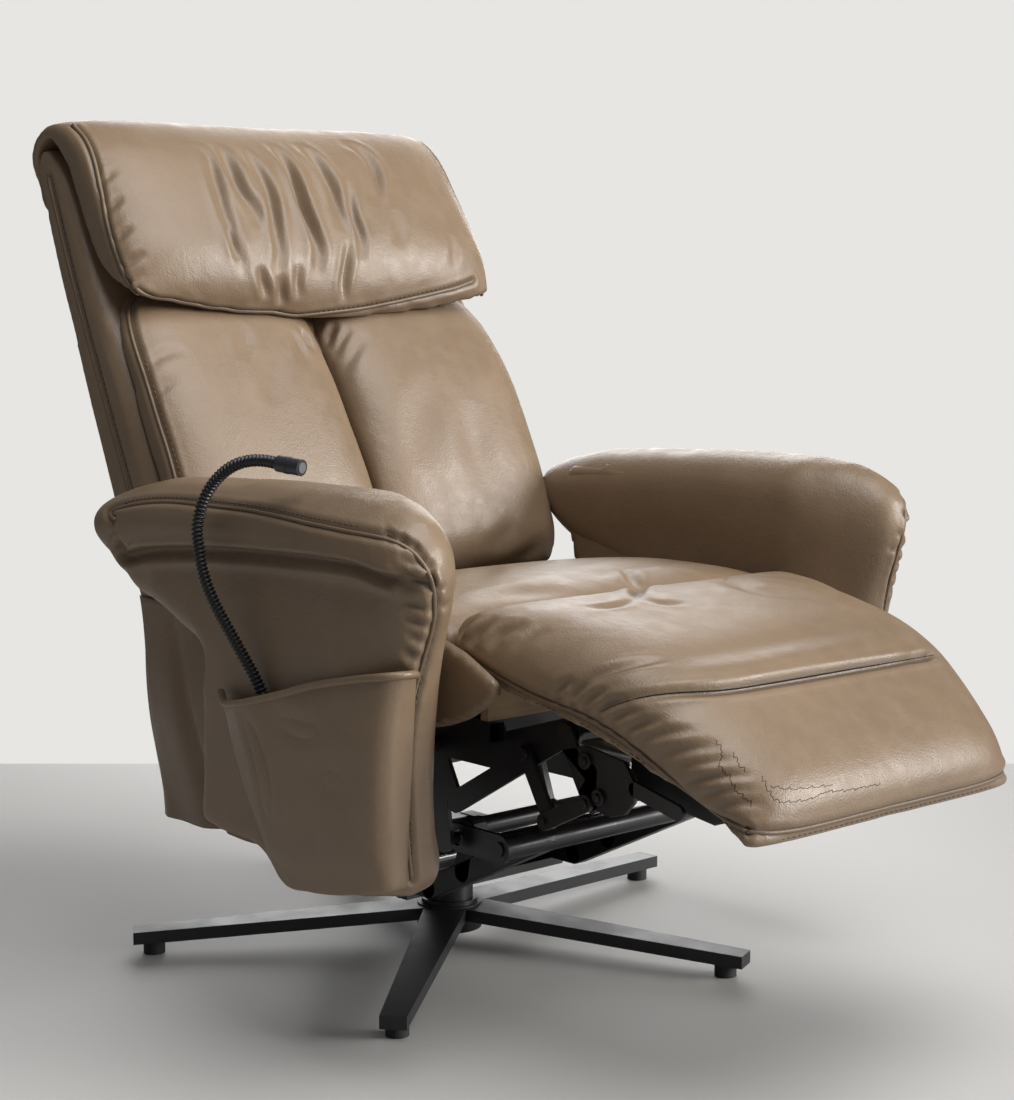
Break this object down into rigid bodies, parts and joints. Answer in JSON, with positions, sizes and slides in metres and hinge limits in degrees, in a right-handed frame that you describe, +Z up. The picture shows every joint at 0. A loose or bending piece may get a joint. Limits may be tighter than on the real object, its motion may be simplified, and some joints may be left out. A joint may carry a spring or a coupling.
{
  "type": "power lift recliner",
  "caption": "Taupe leather power lift recliner on a black five-star swivel base, with a folding footrest, a folded-over head pillow and a gooseneck control",
  "frame": {"origin": "on the floor under the middle of the chair's overall plan, with the footrest raised as it is at rest", "axes": "+X from the pocket's armrest to the other one, +Y from the footrest to the backrest, +Z up; the chair faces -Y"},
  "size_m": [0.86, 1.1697, 1.0034],
  "materials": {
    "black_base": "satin black powder coat",
    "black_steel": "satin black enamel on flat steel",
    "gloss_tube": "glossy black enamel",
    "actuator_black": "matte black moulded housing",
    "rod_steel": "ground steel",
    "webbing": "woven elastic straps",
    "board_black": "black painted board",
    "board_wood": "raw plywood",
    "glide_rubber": "matte black",
    "hose_black": "ribbed satin black",
    "control_black": "fine matte",
    "button_grey": "matte",
    "leather_taupe": "semi-gloss taupe leather over foam with fine creases"
  },
  "bodies": {
    "base": {"star_base": "black_base", "column": "black_steel", "floor_glides": "glide_rubber"},
    "swivel_frame": {"swivel_plate": "black_steel", "swivel_rails": "black_steel", "frame_tube": "gloss_tube", "front_cross_tube": "black_steel", "lift_actuator": "actuator_black"},
    "lift_arms_body": {"lift_arms": "black_steel", "lift_crank": "black_steel"},
    "lift_rod_body": {"lift_rod": "rod_steel"},
    "front_links_body": {"front_links": "black_steel"},
    "chassis": {"side_plate_right": "black_steel", "side_plate_left": "black_steel", "seat_frame": "black_steel", "seat_webbing": "webbing", "seat_cushion": "leather_taupe", "seat_aprons": "leather_taupe", "rear_skirt": "leather_taupe", "front_board": "board_wood", "knee_pad": "leather_taupe", "arm_brackets": "black_steel", "arm_panel_right": "leather_taupe", "arm_panel_left": "leather_taupe", "arm_inner_right": "leather_taupe", "arm_inner_left": "leather_taupe", "arm_roll_right": "leather_taupe", "arm_roll_left": "leather_taupe", "side_pocket": "leather_taupe", "gooseneck_socket": "actuator_black", "gooseneck_hose": "hose_black", "control_head": "control_black", "footrest_actuator": "actuator_black", "recline_actuator": "actuator_black", "linkage_bolts": "black_steel", "power_box": "actuator_black"},
    "button": {"control_button": "button_grey"},
    "footrest": {"footrest_shaft": "black_steel", "footrest_brackets": "black_steel", "footrest_board": "board_black", "footrest_pad": "leather_taupe"},
    "footrest_rod_body": {"footrest_rod": "rod_steel"},
    "rockers": {"rocker_bars": "black_steel"},
    "couplers": {"coupler_bars": "black_steel"},
    "backrest": {"recline_shaft": "black_steel", "back_carrier": "black_steel", "back_shell": "leather_taupe", "back_cushion_right": "leather_taupe", "back_cushion_left": "leather_taupe", "headrest_hinge": "black_steel"},
    "recline_rod_body": {"recline_rod": "rod_steel"},
    "headrest": {"head_pillow": "leather_taupe"}
  },
  "joints": [
    {"name": "swivel", "type": "hinge", "parent": "base", "child": "swivel_frame", "pos_m": [0.005, 0.103, 0.084], "axis": [0, 0, 1], "continuous": true},
    {"name": "lift", "type": "hinge", "parent": "swivel_frame", "child": "lift_arms_body", "pos_m": [0.005, -0.077, 0.19], "axis": [1, 0, 0], "range_deg": [0, 40]},
    {"name": "lift_tilt", "type": "hinge", "parent": "lift_arms_body", "child": "chassis", "pos_m": [0.005, 0.253, 0.19], "axis": [1, 0, 0], "range_deg": [-18, 0]},
    {"name": "front_link", "type": "hinge", "parent": "swivel_frame", "child": "front_links_body", "pos_m": [0.005, -0.197, 0.2], "axis": [1, 0, 0], "range_deg": [0, 75]},
    {"name": "lift_rod_slide", "type": "slide", "parent": "swivel_frame", "child": "lift_rod_body", "axis": [0, -1, 0], "range_m": [0, 0.0512]},
    {"name": "recline", "type": "hinge", "parent": "chassis", "child": "backrest", "pos_m": [0.005, 0.253, 0.385], "axis": [-1, 0, 0], "range_deg": [-8, 34]},
    {"name": "recline_rod_slide", "type": "slide", "parent": "chassis", "child": "recline_rod_body", "axis": [0, -1, 0], "range_m": [-0.0126, 0.0531]},
    {"name": "footrest", "type": "hinge", "parent": "chassis", "child": "footrest", "pos_m": [0.005, -0.327, 0.35], "axis": [-1, 0, 0], "range_deg": [-75, 12]},
    {"name": "footrest_rod_slide", "type": "slide", "parent": "chassis", "child": "footrest_rod_body", "axis": [0, -1, 0], "range_m": [-0.0693, 0.0112]},
    {"name": "rocker", "type": "hinge", "parent": "chassis", "child": "rockers", "pos_m": [0.005, -0.267, 0.32], "axis": [-1, 0, 0], "range_deg": [-75, 12]},
    {"name": "coupler", "type": "hinge", "parent": "rockers", "child": "couplers", "pos_m": [0.005, -0.305, 0.256], "axis": [-1, 0, 0], "range_deg": [-12, 75]},
    {"name": "headrest", "type": "hinge", "parent": "backrest", "child": "headrest", "pos_m": [0.005, 0.54497, 0.9604], "axis": [-1, 0, 0], "range_deg": [0, 25]},
    {"name": "tip_button", "type": "slide", "parent": "chassis", "child": "button", "axis": [-0.2661, 0.958, 0.1064], "range_m": [0, 0.0015], "stiffness_N_per_m": 800, "springref_m": -0.001}
  ],
  "couplings": [
    {"joint": "lift_tilt", "follows": "lift", "ratio": -0.45},
    {"joint": "front_link", "follows": "lift", "ratio": 1.8611},
    {"joint": "lift_rod_slide", "follows": "lift", "m_per_rad": 0.073},
    {"joint": "recline_rod_slide", "follows": "recline", "m_per_rad": 0.089},
    {"joint": "footrest_rod_slide", "follows": "footrest", "m_per_rad": 0.0528},
    {"joint": "rocker", "follows": "footrest", "ratio": 1},
    {"joint": "coupler", "follows": "footrest", "ratio": -1}
  ]
}
